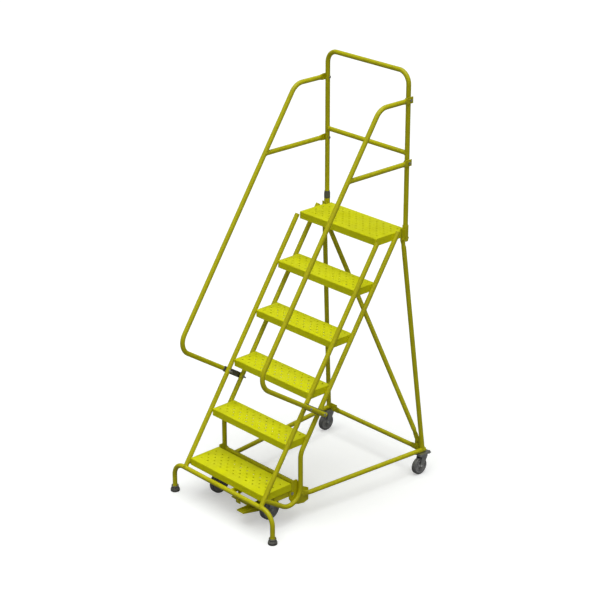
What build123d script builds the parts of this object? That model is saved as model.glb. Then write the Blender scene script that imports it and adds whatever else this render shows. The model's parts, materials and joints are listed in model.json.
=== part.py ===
"""Rolling ladder stand: six perforated steps between tube side frames, two rear swivel casters,
rubber-tipped front legs, and two front casters on a carrier that a foot pedal presses down."""
from build123d import *
import os

os.makedirs("parts", exist_ok=True)

# All sizes in millimetres. +X is the climber's right, +Y is the climbing direction, +Z is up.

# ---- tube, plate and clearances ----
tube_od = 27.0
tube_wall = 1.8
weld_gap = 0.3           # root gap left at every welded or seated joint
run_gap = 0.05           # radial clearance of a pin or axle in its bore
tab_thick = 3.6          # a tube end pressed flat: two walls
tab_width = 38.0
tab_taper = 32.0         # length over which a round end turns flat
plate_thick = 5.0
cap_height = 2.5

# ---- steps ----
step_count = 6
step_rise = 254.0
step_run = 168.3
first_step = 238.0       # top of the lowest step above the floor
tread_width = 610.0
tread_depth = 166.0
bottom_depth = 209.0
top_depth = 239.0
tread_lip = 42.0
tread_gauge = 2.5
tread_return = 12.0      # inward flange along the bottom of the front and rear lips
tread_start = 81.0       # front face of the lowest step
hole_d = 10.0
hole_pitch = 54.0
hole_margin = 20.0

# ---- front legs ----
leg_splay = 95.2         # foot outside the rail
leg_back = 50.5
leg_up = 184.0
leg_bend = 80.0
tip_d = 53.0
tip_h = 30.0
tip_floor = 9.0

# ---- side frames ----
rail_spacing = 147.0     # front rail to rear rail, level
rear_post_back = 346.0
hook_top = 220.0         # where the rear rail's hook meets the front rail
hook_bottom = 44.3       # corner of the hook before it is rounded
hook_bend = 86.0
rail_bend = 100.0
rear_rail_over = 4.0    # rear rail's end above the top step
front_rail_under = 18.0
cross_up = 205.0

# ---- guard rail ----
guard_out = 7.0          # post axis outside the ends of the steps
post_inset = 19.5        # post axis ahead of the top step's rear edge
guard_over = 897.0       # heights with "over" and "under" count from the top step
guard_bend = 70.0
mid_bar_over = 444.0
socket_wall = 3.2
socket_under = 63.0
socket_over = 28.0

# ---- handrails ----
handrail_ahead = 508.0   # handrail ahead of the front rail, level
handrail_over = 744.0
handrail_low = 917.0
handrail_bend = 90.0
brace_over = 391.0
handrail_past = 22.0     # lower end past the rear rail
strap_height = 33.0
strap_thick = 4.0
strap_ahead = 45.0       # the lower run turns level with the rails this far before the front rail

# ---- base frame ----
base_splay = 72.8        # rear corner outside the rail
base_back = 1244.3
base_up = 146.0
base_tab = 24.0          # flattened tab at the front of a base side tube
base_tab_clear = 11.0    # that tab behind the rear rail's axis
base_past = 18.0         # base side tube past the corner
leg_tab_over = 10.0
leg_bolt_under = 50.0
leg_head_x = 4.2         # leg's round end outside the post axis
leg_head_ahead = 14.3    # and ahead of it
brace_spacer = 4.5       # spacer between the leg's tab and the brace's
brace_foot_in = 41.6     # brace foot inside the rear corner
brace_foot_up = 195.0
brace_end = 14.0         # brace tab past its bolt
brace_tab = 48.0
bracket_width = 63.6     # corner bracket, from the rear corner inwards

# ---- rear swivel casters ----
pad_thick = 5.0
pad_inset = 3.0          # pad inside the caster plate's outline, each side
caster_plate_x = 62.0
caster_plate_y = 89.0
caster_plate_thick = 3.5
caster_bolt_x = 44.0
caster_bolt_y = 70.0
rear_wheel_d = 101.6
rear_wheel_w = 28.0
trail = 25.0
kingpin_d = 12.0
kingpin_head = 4.0
race_r = 26.0
race_height = 9.0
crown_width = 44.0
crown_thick = 7.0
fork_eye_r = 13.0
rim_depth = 9.0          # tyre's thickness over the rim
fork_thick = 3.0
fork_gap = 2.5           # wheel hub to fork leg, each side
axle_d = 10.0

# ---- front casters and their carrier ----
front_wheel_d = 127.0
front_wheel_w = 30.0
front_wheel_x = 211.0
front_wheel_back = 211.0
front_wheel_lift = 12.5  # wheel above the floor while the stand rests on its legs
front_plate_x = 56.0
front_plate_y = 80.0
front_bolt_x = 38.0
front_bolt_y = 60.0
front_stack = 157.0      # rigid caster, wheel bottom to plate top
hinge_back = 295.0
hinge_up = 175.0
hinge_pin_d = 12.0
channel_depth = 84.0
channel_height = 20.0
channel_gauge = 4.0
arm_gap = 1.0            # carrier arm to bracket plate
eye_r = 16.0

# ---- pedal, latch and springs ----
pedal_x = 148.0
pedal_width = 56.0
pedal_tip_back = 51.0
pedal_tip_up = 90.0
pedal_heel_back = 203.0
pedal_heel_up = 57.0
pedal_gauge = 4.0
pedal_flange = 36.0      # flange bolted up to the carrier
rib_height = 34.0
stay_back = 140.0        # front face of the stay
stay_low = 78.0
stay_height = 20.0
stay_tip_x = -30.0
stay_hanger_x = -10.0
latch_x = 67.0
latch_back = 120.0
latch_up = 200.0
latch_thick = 6.0
latch_pin_d = 8.0
latch_eye_r = 9.0
latch_toe_back = 108.0
latch_toe_up = 90.0
latch_toe_w = 34.0
latch_toe_h = 22.0
tooth_up = 150.0
tooth_back = 166.0
cheek_gap = 1.0          # latch lever to bracket cheek
cheek_thick = 3.0
spring_x = 140.0
spring_back = 188.0
spring_r = 7.0
wire_r = 0.9
spring_turns = 12
spring_stem = 9.0        # straight wire at each end of the coil

# ---- fasteners ----
bolt_d = 8.0
small_bolt_d = 6.0
bolt_fit = 0.25          # radial clearance of a bolt in its hole

# ---- worked out from the sizes above ----
tube_r = tube_od / 2
slope = step_run / step_rise
rail_x = tread_width / 2 + weld_gap + tube_r
plate_x = rail_x - tube_r - weld_gap          # outer face of the bracket plates
leg_x = rail_x + leg_splay
guard_x = tread_width / 2 + guard_out
base_x = rail_x + base_splay
brace_foot_x = base_x - brace_foot_in
bracket_x = base_x - bracket_width
handrail_x = guard_x + tube_r + weld_gap + tab_thick / 2
socket_r = tube_r + weld_gap + socket_wall
pad_top = base_up - tube_r - weld_gap
box_front = leg_back - tip_d / 2
box_rear = base_back + caster_plate_y / 2
box_middle = (box_front + box_rear) / 2
channel_front = front_wheel_back - channel_depth / 2
top_step = first_step + (step_count - 1) * step_rise
guard_back = tread_start + (step_count - 1) * step_run + top_depth - post_inset
leg_tab_back = guard_back - socket_r - weld_gap - tab_thick / 2
guard_top = top_step + guard_over
mid_bar_up = top_step + mid_bar_over
socket_bottom = top_step - socket_under
socket_top = top_step + socket_over
handrail_top = top_step + handrail_over
brace_up = top_step + brace_over
leg_tab_top = top_step + leg_tab_over
leg_bolt_up = top_step - leg_bolt_under
hole_r = bolt_d / 2 + bolt_fit
tab_notch = socket_r + 4 * weld_gap + 2 * tab_thick + brace_spacer      # room for the stacked tabs ahead of the post
corner_line = base_back + tab_thick / 2 + weld_gap      # front face of the corner brackets
sides = (("left", -1), ("right", 1))


def at(x, back, up):
    """Point from its distance right, back from the front datum and up from the floor."""
    return Vector(x, back - box_middle, up)


def side_plane(x):
    """Plane facing right whose drawing axes are back and up."""
    return Plane(origin=at(x, 0, 0), x_dir=(0, 1, 0), z_dir=(1, 0, 0))


def front_rail_at(up):
    """Distance back of the front rail's axis at a height."""
    return leg_back + slope * (up - leg_up)


def tube(points, bends=None, outer=tube_r, wall=tube_wall):
    """Hollow tube along straight runs joined by tangent bends."""
    with BuildPart() as made:
        with BuildLine() as route:
            if bends:
                FilletPolyline(*points, radius=bends)
            else:
                Line(*points)
        with BuildSketch(Plane(origin=route.line @ 0, z_dir=route.line % 0)):
            Circle(outer)
            Circle(outer - wall, mode=Mode.SUBTRACT)
        sweep()
    return made.part


def rod(start, end, radius):
    """Solid round bar from one point to another."""
    with BuildPart() as made:
        with BuildSketch(Plane(origin=start, z_dir=end - start)):
            Circle(radius)
        extrude(amount=(end - start).length)
    return made.part


def cope(start, end):
    """Cutter that saddles one tube's end over another tube."""
    return rod(start, end, tube_r + weld_gap)


def flat_end(start, run, tip, width_dir, tab_dir, tab_length, hole_back):
    """Tube end pressed flat: a taper from the round run's end to the flat tip, then a drilled tab."""
    flat = Plane(origin=tip, x_dir=width_dir, z_dir=tab_dir)
    middle = tip + flat.z_dir * (tab_length - hole_back)
    with BuildPart() as made:
        with BuildSketch(Plane(origin=start, x_dir=width_dir, z_dir=run)):
            Circle(tube_r)
        with BuildSketch(flat):
            SlotOverall(tab_width, tab_thick)
        loft()
        with BuildSketch(flat):
            SlotOverall(tab_width, tab_thick)
        extrude(amount=tab_length)
        with BuildSketch(Plane(origin=middle, x_dir=width_dir, z_dir=flat.y_dir)):
            Circle(hole_r)
        extrude(amount=tab_thick, both=True, mode=Mode.SUBTRACT)
    return made.part


def bolt(place, grip, size=bolt_d, tail=3.0):
    """Hex bolt with its head on the place and its nut a grip below it."""
    head = 0.65 * size
    nut_seat = place.offset(-grip - weld_gap)
    with BuildPart() as made:
        with BuildSketch(place.offset(weld_gap / 2)):
            RegularPolygon(0.95 * size, 6)
        extrude(amount=head)
        with BuildSketch(place.offset(weld_gap / 2)):
            Circle(size / 2)
        extrude(amount=-(grip + 2 * weld_gap + head + tail))
        with BuildSketch(nut_seat):
            RegularPolygon(0.95 * size, 6)
            Circle(size / 2 + run_gap, mode=Mode.SUBTRACT)
        extrude(amount=-head)
    return made.part


def save(made, name):
    made.part.label = name
    export_step(made.part, f"parts/{name}.step")


# ======== front legs ========
leg_left_axis = at(-leg_x, leg_back, leg_up)
leg_right_axis = at(leg_x, leg_back, leg_up)
with BuildPart() as front_leg_tube:
    foot_line = (at(-leg_x, leg_back, tip_floor + weld_gap), leg_left_axis,
                 leg_right_axis, at(leg_x, leg_back, tip_floor + weld_gap))
    add(tube(foot_line, leg_bend))
save(front_leg_tube, "front_leg_tube")

with BuildPart() as foot_tips:
    for side, sign in sides:
        foot = at(sign * leg_x, leg_back, 0)
        with BuildSketch(Plane(origin=foot, x_dir=(1, 0, 0), z_dir=(0, -1, 0))):
            with BuildLine():
                Polyline((0, 0), (tip_d / 2 - 2, 0), (tip_d / 2, 2), (tip_d / 2, 11),
                         (tube_r + 6, tip_h - 4), (tube_r + 6, tip_h), (tube_r + weld_gap, tip_h),
                         (tube_r + weld_gap, tip_floor), (0, tip_floor), (0, 0))
            make_face()
        revolve(axis=Axis(foot, (0, 0, 1)))
save(foot_tips, "foot_tips")

with BuildPart() as foot_collars:
    for side, sign in sides:
        with BuildSketch(Plane(at(sign * leg_x, leg_back, tip_h + weld_gap))):
            Circle(tube_r + 7.5)
            Circle(tube_r + weld_gap, mode=Mode.SUBTRACT)
        extrude(amount=5)
save(foot_collars, "foot_collars")

# ======== side frames ========
front_top = top_step - front_rail_under
rear_top = top_step + rear_rail_over
rear_back_top = front_rail_at(rear_top) + rail_spacing
bend_up = leg_up + (rear_post_back - rail_spacing - leg_back) / slope


def handrail_point(up):
    """Distance back of the handrail's sloping axis at a height."""
    return front_rail_at(up) - handrail_ahead


# The handrail's lower run leaves its corner square to the rails and crosses outside both of them.
square = Vector(0, 1, -slope).normalized()
low_corner = Vector(0, handrail_point(handrail_low), handrail_low)
cross_x = rail_x + 2 * tube_r + strap_thick + 2 * weld_gap


def lower_run_to(rail_offset):
    """Distance along the lower run to the rail that lies this far behind the front rail."""
    return (handrail_ahead + rail_offset) / (square.Y - slope * square.Z)


to_front, to_rear = lower_run_to(0), lower_run_to(rail_spacing)
crossings = [low_corner + square * distance for distance in (to_front, to_rear)]


def across(x_from, x_to, spot):
    """Bolt hole cutter along X through a point of the side view."""
    return rod(at(x_from, spot.Y, spot.Z), at(x_to, spot.Y, spot.Z), hole_r)


for side, sign in sides:
    leg_axis = (at(-leg_x, leg_back, leg_up), at(leg_x, leg_back, leg_up))
    front_foot = at(sign * rail_x, leg_back, leg_up)
    front_head = at(sign * rail_x, front_rail_at(front_top), front_top)
    bolt_holes = [across(sign * (rail_x - tube_od), sign * (rail_x + tube_od), spot) for spot in crossings]

    with BuildPart() as front_rail:
        add(tube((front_foot, front_head)))
        add(cope(*leg_axis), mode=Mode.SUBTRACT)
        add(bolt_holes[0], mode=Mode.SUBTRACT)
    save(front_rail, f"front_rail_{side}")

    with BuildPart() as rear_rail:
        add(tube((at(sign * rail_x, front_rail_at(hook_top), hook_top),
                  at(sign * rail_x, rear_post_back, hook_bottom),
                  at(sign * rail_x, rear_post_back, bend_up),
                  at(sign * rail_x, rear_back_top, rear_top)), (hook_bend, rail_bend)))
        add(cope(front_foot, front_head), mode=Mode.SUBTRACT)
        add(bolt_holes[1], mode=Mode.SUBTRACT)
    save(rear_rail, f"rear_rail_{side}")

with BuildPart() as rail_caps:
    up_rail = at(0, step_run, step_rise) - at(0, 0, 0)
    for side, sign in sides:
        for back, up in ((front_rail_at(front_top), front_top), (rear_back_top, rear_top)):
            with BuildSketch(Plane(origin=at(sign * rail_x, back, up), z_dir=up_rail).offset(weld_gap)):
                Circle(tube_r)
            extrude(amount=cap_height, taper=20)
save(rail_caps, "rail_caps")

cross_half = plate_x - plate_thick - weld_gap
with BuildPart() as rear_cross_tube:
    add(tube((at(-cross_half, rear_post_back, cross_up), at(cross_half, rear_post_back, cross_up))))
save(rear_cross_tube, "rear_cross_tube")

# ======== steps ========
for step in range(step_count):
    depth = tread_depth
    if step == 0:
        depth = bottom_depth
    if step == step_count - 1:
        depth = top_depth
    up = first_step + step * step_rise
    middle = tread_start + step * step_run + depth / 2
    rows = int((depth - 2 * hole_margin - hole_d) // hole_pitch) + 1
    columns = int((tread_width - 2 * hole_margin - hole_d) // hole_pitch) + 1
    with BuildPart() as tread:
        with BuildSketch(Plane(at(0, middle, up))):
            Rectangle(tread_width, depth)
        extrude(amount=-tread_lip)
        fillet(tread.edges().filter_by(Axis.X).group_by(Axis.Z)[-1], radius=5)
        with BuildSketch(Plane(at(0, middle, up - tread_gauge))):
            Rectangle(tread_width - 2 * tread_gauge, depth - 2 * tread_gauge)
        extrude(amount=-(tread_lip - 2 * tread_gauge), mode=Mode.SUBTRACT)
        with BuildSketch(Plane(at(0, middle, up - tread_lip + tread_gauge))):
            Rectangle(tread_width - 2 * tread_gauge, depth - 2 * tread_return)
        extrude(amount=-2 * tread_gauge, mode=Mode.SUBTRACT)
        with BuildSketch(Plane(at(0, middle, up))):
            with GridLocations(hole_pitch, hole_pitch, columns, rows):
                Circle(hole_d / 2)
            with GridLocations(hole_pitch, hole_pitch, columns - 1, rows - 1):
                Circle(hole_d / 2)
        extrude(amount=-2 * tread_gauge, mode=Mode.SUBTRACT)
        if step == step_count - 1:
            for side, sign in sides:
                with BuildSketch(Plane(at(sign * guard_x, guard_back, up))):
                    Circle(socket_r + weld_gap)
                    with Locations((0, top_depth / 2)):
                        Rectangle(2 * (socket_r + weld_gap), top_depth)
                    with Locations((0, -tab_notch / 2)):
                        Rectangle(tab_width + 2 * weld_gap, tab_notch)
                extrude(amount=-tread_lip, mode=Mode.SUBTRACT)
    save(tread, f"tread_{step + 1}")

# ======== guard rail ========
post_bottom = socket_bottom + tube_wall
post_bolts = (Vector(0, guard_back, handrail_top), Vector(0, guard_back, brace_up))
leg_holes = [rod(at(sign * guard_x, guard_back - tube_od, leg_bolt_up),
                 at(sign * guard_x, guard_back + tube_od, leg_bolt_up), hole_r) for side, sign in sides]
with BuildPart() as guard_rail:
    add(tube((at(-guard_x, guard_back, post_bottom), at(-guard_x, guard_back, guard_top),
              at(guard_x, guard_back, guard_top), at(guard_x, guard_back, post_bottom)), guard_bend))
    for spot in post_bolts:
        add(across(-2 * guard_x, 2 * guard_x, spot), mode=Mode.SUBTRACT)
    add(leg_holes, mode=Mode.SUBTRACT)
save(guard_rail, "guard_rail")

with BuildPart() as guard_mid_bar:
    add(tube((at(-guard_x, guard_back, mid_bar_up), at(guard_x, guard_back, mid_bar_up))))
    for side, sign in sides:
        add(cope(at(sign * guard_x, guard_back, post_bottom), at(sign * guard_x, guard_back, guard_top)),
            mode=Mode.SUBTRACT)
save(guard_mid_bar, "guard_mid_bar")

with BuildPart() as post_sockets:
    for side, sign in sides:
        with BuildSketch(Plane(at(sign * guard_x, guard_back, socket_bottom))):
            Circle(socket_r)
            Circle(tube_r + weld_gap, mode=Mode.SUBTRACT)
        extrude(amount=socket_top - socket_bottom)
    add(leg_holes, mode=Mode.SUBTRACT)
save(post_sockets, "post_sockets")

# ======== handrails ========
tab_length = 44.0
tab_past = 20.0          # flattened tab past the centre of its post
up_way, back_way = Vector(0, 0, 1), Vector(0, 1, 0)
round_end = guard_back + tab_past - tab_length - tab_taper
run_end = low_corner + square * (to_rear + handrail_past)
run_turn = low_corner + square * (to_front - strap_ahead)
for side, sign in sides:
    low = at(sign * handrail_x, low_corner.Y, low_corner.Z)
    high = at(sign * handrail_x, handrail_point(handrail_top), handrail_top)
    with BuildPart() as handrail:
        end = at(sign * handrail_x, round_end, handrail_top)
        add(tube((at(sign * cross_x, run_end.Y, run_end.Z), at(sign * cross_x, run_turn.Y, run_turn.Z),
                  low, high, end), (handrail_bend, handrail_bend, handrail_bend)))
        add(flat_end(end, back_way, end + back_way * tab_taper, up_way, back_way, tab_length, tab_past))
        for spot in crossings:
            add(across(sign * (cross_x - tube_od), sign * (cross_x + tube_od), spot), mode=Mode.SUBTRACT)
    save(handrail, f"handrail_{side}")

    with BuildPart() as handrail_brace:
        end = at(sign * handrail_x, round_end, brace_up)
        add(tube((at(sign * handrail_x, handrail_point(brace_up), brace_up), end)))
        add(flat_end(end, back_way, end + back_way * tab_taper, up_way, back_way, tab_length, tab_past))
        add(cope(low, high), mode=Mode.SUBTRACT)
    save(handrail_brace, f"handrail_brace_{side}")

strap_past = strap_height / 2 + 4
with BuildPart() as handrail_straps:
    for side, sign in sides:
        start = low_corner + square * (to_front - strap_past)
        strap_x = sign * (rail_x + tube_r + weld_gap + strap_thick / 2)
        with BuildSketch(Plane(origin=at(strap_x, start.Y, start.Z), x_dir=(1, 0, 0), z_dir=square)):
            Rectangle(strap_thick, strap_height)
        extrude(amount=to_rear - to_front + 2 * strap_past)
    for spot in crossings:
        add(across(-2 * cross_x, 2 * cross_x, spot), mode=Mode.SUBTRACT)
save(handrail_straps, "handrail_straps")

with BuildPart() as handrail_bolts:
    for side, sign in sides:
        for spot in crossings:
            head = at(sign * (cross_x + tube_r), spot.Y, spot.Z)
            add(bolt(Plane(origin=head, z_dir=(sign, 0, 0)), cross_x - rail_x + tube_od, tail=14))
        for spot in post_bolts:
            head = at(sign * (handrail_x + tab_thick / 2), spot.Y, spot.Z)
            add(bolt(Plane(origin=head, z_dir=(sign, 0, 0)), handrail_x - guard_x + tab_thick / 2 + tube_r))
save(handrail_bolts, "handrail_bolts")

# ======== bracket plates that join the base to the rails ========
tread_rear = tread_start + bottom_depth
base_bolt_back = rear_post_back + base_tab_clear + base_tab / 2
plate_outline = ((tread_rear + 2, first_step + 12), (rear_post_back - 16, first_step + 12),
                 (rear_post_back + 32, first_step - 48), (rear_post_back + 73, base_up + 22),
                 (rear_post_back + 73, base_up - 52), (rear_post_back + 40, base_up - 62),
                 (rear_post_back - 8, base_up - 54), (hinge_back, hinge_up - 60),
                 (hinge_back - 20, hinge_up - 30), (hinge_back - 20, hinge_up + 12),
                 (tread_rear + 2, hinge_up + 12))
with BuildPart() as bracket_plates:
    for side, sign in sides:
        with BuildSketch(side_plane(sign * plate_x)):
            with BuildLine():
                Polyline(*plate_outline, close=True)
            make_face()
            with Locations((hinge_back, hinge_up)):
                Circle(hinge_pin_d / 2 + run_gap, mode=Mode.SUBTRACT)
            with Locations((base_bolt_back, base_up)):
                Circle(hole_r, mode=Mode.SUBTRACT)
        extrude(amount=-sign * plate_thick)
save(bracket_plates, "bracket_plates")

# ======== base frame ========
base_tab_x = plate_x + weld_gap + tab_thick / 2
base_round = base_bolt_back + base_tab / 2 + tab_taper
leg_head_up = socket_bottom - tab_taper - weld_gap


def side_line(sign):
    """Axis of a base side tube, from its round front end to past the rear corner."""
    front_end, corner = at(sign * rail_x, base_round, base_up), at(sign * base_x, base_back, base_up)
    return front_end, corner + (corner - front_end).normalized() * base_past


def leg_line(sign):
    """Axis of a rear leg, from the rear corner to where its top is pressed flat."""
    return at(sign * base_x, base_back, base_up), at(sign * (guard_x + leg_head_x), guard_back - leg_head_ahead, leg_head_up)


for side, sign in sides:
    with BuildPart() as base_side_tube:
        add(tube(side_line(sign)))
        round_end, rear_end = side_line(sign)
        add(flat_end(round_end, round_end - rear_end, at(sign * base_tab_x, base_round - tab_taper, base_up),
                     up_way, -back_way, base_tab, base_tab / 2))
    save(base_side_tube, f"base_side_tube_{side}")

    tab_foot = at(sign * guard_x, leg_tab_back, leg_head_up + tab_taper)
    with BuildPart() as rear_leg:
        add(tube(leg_line(sign)))
        corner, leg_head = leg_line(sign)
        add(flat_end(leg_head, leg_head - corner, tab_foot, Vector(1, 0, 0), up_way, leg_tab_top - tab_foot.Z,
                     leg_tab_top - leg_bolt_up))
        add(cope(*side_line(sign)), mode=Mode.SUBTRACT)
    save(rear_leg, f"rear_leg_{side}")

rear_tab_end = base_x - caster_plate_x / 2 - 1.5
rear_round = rear_tab_end - tab_length - tab_taper
rear_bolt_x = rear_tab_end - tab_length / 2
with BuildPart() as base_rear_tube:
    add(tube((at(-rear_round, base_back, base_up), at(rear_round, base_back, base_up))))
    for side, sign in sides:
        end = at(sign * rear_round, base_back, base_up)
        outward = Vector(sign, 0, 0)
        add(flat_end(end, outward, end + outward * tab_taper, up_way, outward, tab_length, tab_length / 2))
save(base_rear_tube, "base_rear_tube")

with BuildPart() as corner_brackets:
    for side, sign in sides:
        top = brace_foot_up + 22 if side == "right" else base_up + tube_od
        with BuildSketch(Plane(origin=at(0, corner_line, 0), x_dir=(sign, 0, 0), z_dir=(0, -sign, 0))):
            with BuildLine():
                Polyline((bracket_x, pad_top + 2 * weld_gap), (base_x, pad_top + 2 * weld_gap),
                         (base_x, base_up), (base_x - tube_r, top), (bracket_x, top), close=True)
            make_face()
            with Locations((rear_bolt_x, base_up)):
                Circle(hole_r, mode=Mode.SUBTRACT)
            if side == "right":
                with Locations((brace_foot_x, brace_foot_up)):
                    Circle(hole_r, mode=Mode.SUBTRACT)
        extrude(amount=-sign * plate_thick)
        add(cope(*side_line(sign)), mode=Mode.SUBTRACT)
        add(cope(*leg_line(sign)), mode=Mode.SUBTRACT)
save(corner_brackets, "corner_brackets")

# The brace runs from the left post down to the right rear corner, with both ends pressed flat.
spacer_back = leg_tab_back - tab_thick / 2 - weld_gap
brace_head = at(-guard_x, spacer_back - brace_spacer - weld_gap - tab_thick / 2, leg_bolt_up)
brace_foot = at(brace_foot_x, base_back, brace_foot_up)
lean = Vector(brace_head.X - brace_foot.X, 0, brace_head.Z - brace_foot.Z).normalized()
lean_side = Vector(lean.Z, 0, -lean.X)
tab_start = brace_tab - brace_end + tab_taper
brace_low = brace_foot + lean * tab_start
brace_high = brace_head - lean * tab_start
with BuildPart() as diagonal_brace:
    add(tube((brace_low, brace_high)))
    for start, way, hole_spot in ((brace_low, -lean, brace_foot), (brace_high, lean, brace_head)):
        run = (brace_high - brace_low) * (1 if way == lean else -1)
        add(flat_end(start, run, hole_spot - way * (brace_tab - brace_end), lean_side, way, brace_tab, brace_end))
save(diagonal_brace, "diagonal_brace")

with BuildPart() as frame_bolts:
    for side, sign in sides:
        outward = (sign, 0, 0)
        add(bolt(Plane(origin=at(sign * (base_tab_x + tab_thick / 2), base_bolt_back, base_up), z_dir=outward),
                 plate_thick + tab_thick + weld_gap))
        add(bolt(Plane(origin=at(sign * rear_bolt_x, base_back - tab_thick / 2, base_up), z_dir=-back_way),
                 tab_thick + plate_thick + weld_gap))
    post_grip = tab_thick + weld_gap + 2 * socket_r
    for spot, grip in ((brace_foot, tab_thick + plate_thick + weld_gap),
                       (brace_head, post_grip + tab_thick + brace_spacer + 2 * weld_gap),
                       (at(guard_x, leg_tab_back, leg_bolt_up), post_grip)):
        add(bolt(Plane(origin=spot - back_way * tab_thick / 2, z_dir=-back_way), grip))
    with BuildSketch(Plane(origin=at(-guard_x, spacer_back, leg_bolt_up), z_dir=-back_way)):
        Circle(bolt_d)
        Circle(hole_r, mode=Mode.SUBTRACT)
    extrude(amount=brace_spacer)
save(frame_bolts, "frame_bolts")

# ======== rear swivel casters ========
plate_top = pad_top - pad_thick - weld_gap
plate_low = plate_top - caster_plate_thick
crown_low = plate_low - race_height - weld_gap - crown_thick
small_hole_r = small_bolt_d / 2 + bolt_fit
wheel_r = rear_wheel_d / 2
hub_half = rear_wheel_w / 2 + 2
fork_half = hub_half + fork_gap


def four_round(middle, spacing_x, spacing_y):
    """Four bolt positions round a caster plate."""
    return [middle + Vector(x * spacing_x / 2, y * spacing_y / 2, 0) for x in (-1, 1) for y in (-1, 1)]


def wheel_hub(centre, radius, width):
    """Moulded wheel centre: hub, dished web and rim round the axle bore."""
    rim = radius - rim_depth
    half = width / 2
    with BuildPart() as made:
        with BuildSketch(Plane(origin=centre, x_dir=(1, 0, 0), z_dir=(0, -1, 0))):
            with BuildLine():
                Polyline((-half - 2, axle_d / 2 + run_gap), (half + 2, axle_d / 2 + run_gap), (half + 2, 13),
                         (5, 17), (5, rim - 8), (half - 2, rim - 5), (half - 2, rim),
                         (2 - half, rim), (2 - half, rim - 5), (-5, rim - 8), (-5, 17), (-half - 2, 13),
                         close=True)
            make_face()
        revolve(axis=Axis(centre, (1, 0, 0)))
    return made.part


def wheel_tyre(centre, radius, width):
    """Solid tyre round the rim, with rounded shoulders."""
    rim = radius - rim_depth + weld_gap / 2
    with BuildPart() as made:
        with BuildSketch(Plane(origin=centre, x_dir=(1, 0, 0), z_dir=(0, -1, 0))) as section:
            with Locations((0, (rim + radius) / 2)):
                Rectangle(width, radius - rim)
            fillet(section.vertices().group_by(Axis.Y)[-1], radius=5)
        revolve(axis=Axis(centre, (1, 0, 0)))
    return made.part


def fork_leg(face, wheel_centre, crown_centre, crown_width, side_way):
    """One fork leg, tapering from the crown to a round eye at the axle."""
    with BuildPart() as made:
        with BuildSketch(Plane(origin=face, x_dir=(0, 1, 0), z_dir=(1, 0, 0))):
            with Locations(wheel_centre):
                Circle(fork_eye_r)
            with Locations(crown_centre):
                Rectangle(crown_width, crown_thick)
            make_hull()
        extrude(amount=side_way * fork_thick)
    return made.part


with BuildPart() as caster_pads:
    for side, sign in sides:
        stem = at(sign * base_x, base_back, 0)
        with BuildSketch(Plane(stem + up_way * pad_top)):
            RectangleRounded(caster_plate_x - 2 * pad_inset, caster_plate_y - 2 * pad_inset, 6)
        extrude(amount=-pad_thick)
        for spot in four_round(stem, caster_bolt_x, caster_bolt_y):
            add(rod(spot, spot + up_way * base_up, small_hole_r), mode=Mode.SUBTRACT)
save(caster_pads, "caster_pads")

with BuildPart() as caster_bolts:
    for side, sign in sides:
        for spot in four_round(at(sign * base_x, base_back, pad_top), caster_bolt_x, caster_bolt_y):
            add(bolt(Plane(spot), pad_thick + caster_plate_thick + weld_gap, small_bolt_d))
save(caster_bolts, "caster_bolts")

for side, sign in sides:
    stem = at(sign * base_x, base_back, 0)
    hub_centre = stem + Vector(0, -trail, wheel_r)

    with BuildPart() as caster_plate:
        with BuildSketch(Plane(stem + up_way * plate_top)):
            RectangleRounded(caster_plate_x, caster_plate_y, 5)
        extrude(amount=-caster_plate_thick)
        for spot in four_round(stem, caster_bolt_x, caster_bolt_y):
            add(rod(spot, spot + up_way * base_up, small_hole_r), mode=Mode.SUBTRACT)
        with BuildSketch(Plane(stem + up_way * plate_low)):
            Circle(race_r - 2)
        extrude(amount=-race_height)
        with BuildSketch(Plane(stem + up_way * plate_low)):
            Circle(kingpin_d / 2)
        extrude(amount=-(race_height + crown_thick + 3 * weld_gap))
        with BuildSketch(Plane(stem + up_way * (crown_low - weld_gap))):
            Circle(kingpin_d / 2 + 4)
        extrude(amount=-kingpin_head)
    save(caster_plate, f"rear_{side}_caster_plate")

    with BuildPart() as fork:
        with BuildSketch(Plane(stem + up_way * crown_low)):
            Circle(race_r)
            Circle(kingpin_d / 2 + run_gap, mode=Mode.SUBTRACT)
        extrude(amount=crown_thick)
        for leg in (-1, 1):
            add(fork_leg(stem + Vector(leg * fork_half, 0, 0), (-trail, wheel_r),
                         (0, crown_low + crown_thick / 2), crown_width, leg))
        add(rod(hub_centre - Vector(50, 0, 0), hub_centre + Vector(50, 0, 0), axle_d / 2 + bolt_fit),
            mode=Mode.SUBTRACT)
    save(fork, f"rear_{side}_fork")

    with BuildPart() as axle:
        add(bolt(Plane(origin=hub_centre + Vector(fork_half + fork_thick, 0, 0), z_dir=(1, 0, 0)),
                 2 * (fork_half + fork_thick), axle_d, tail=1.5))
    save(axle, f"rear_{side}_axle")

    with BuildPart() as wheel:
        add(wheel_hub(hub_centre, wheel_r, rear_wheel_w))
    save(wheel, f"rear_{side}_wheel")
    with BuildPart() as tyre:
        add(wheel_tyre(hub_centre, wheel_r, rear_wheel_w))
    save(tyre, f"rear_{side}_tyre")

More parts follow.
